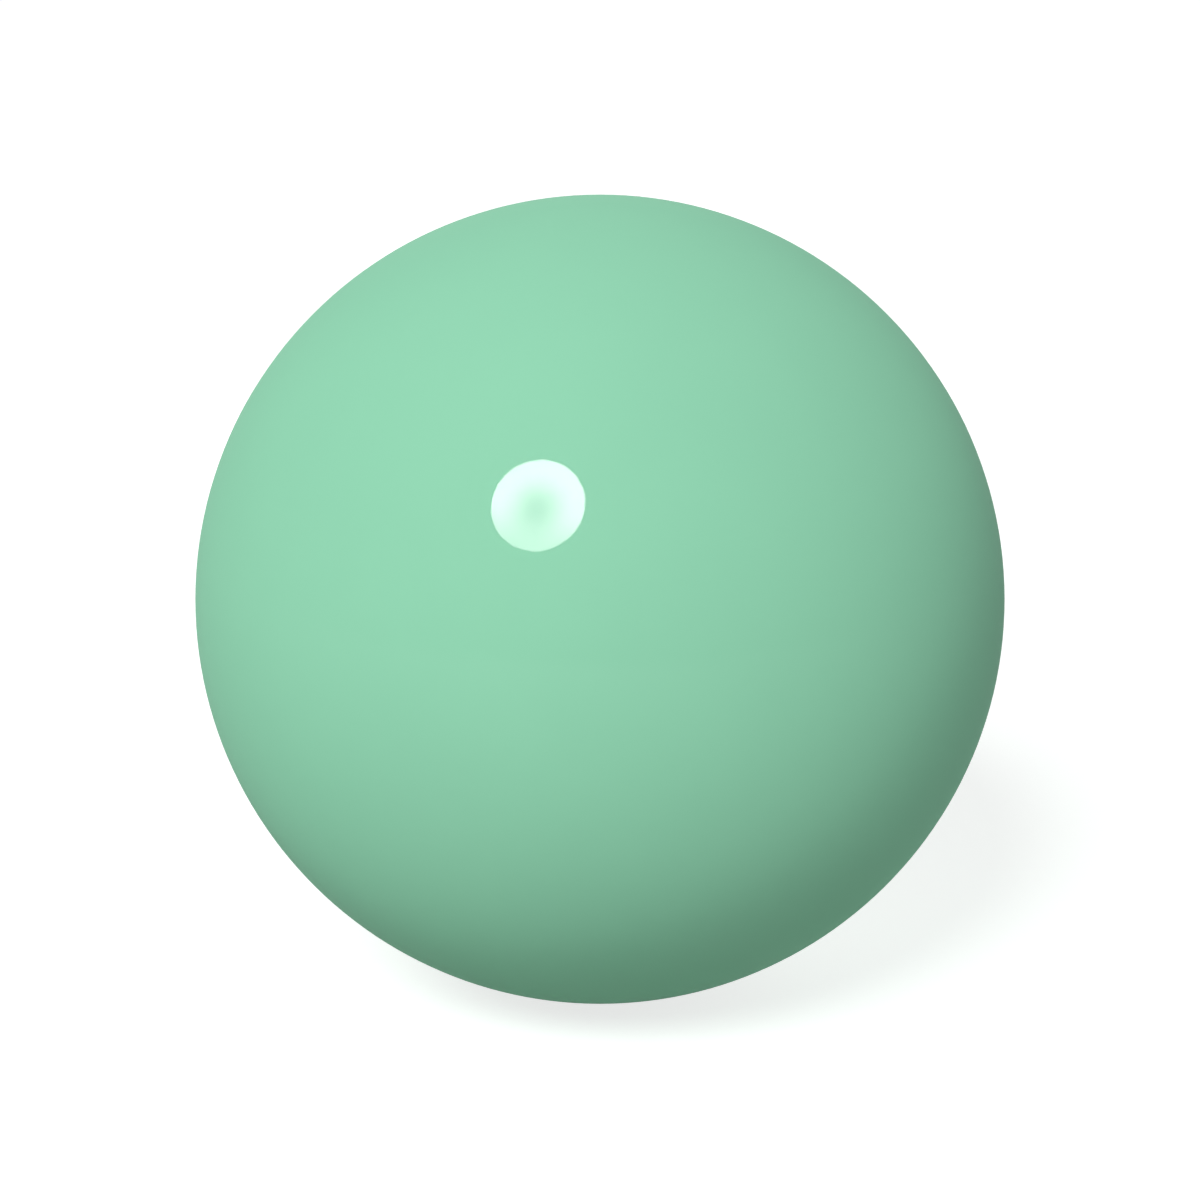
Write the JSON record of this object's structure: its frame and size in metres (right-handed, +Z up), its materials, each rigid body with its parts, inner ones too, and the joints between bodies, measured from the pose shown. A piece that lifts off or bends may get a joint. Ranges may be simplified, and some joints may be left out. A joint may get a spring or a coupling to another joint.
{
  "type": "rhythmic gymnastics ball",
  "caption": "Round hollow ball for rhythmic gymnastics: a gloss-lacquered rubber shell with a flush inflation valve seat and a white plug that pulls out.",
  "frame": {"origin": "centre of the ball", "axes": "+Z up; +Y along the valve axis, out of the valve, which is on the far side from the picture's camera; +X completes the right-handed set"},
  "size_m": [0.185, 0.1848, 0.185],
  "materials": {
    "shell_lacquer": "gloss",
    "seat_rubber": "satin",
    "plug_plastic": "satin"
  },
  "bodies": {
    "ball": {"ball_shell": "shell_lacquer", "valve_seat": "seat_rubber"},
    "plug": {"valve_plug": "plug_plastic"}
  },
  "joints": [
    {"name": "plug_pull", "type": "slide", "parent": "ball", "child": "plug", "axis": [0, 1, 0], "range_m": [0, 0.025]}
  ]
}
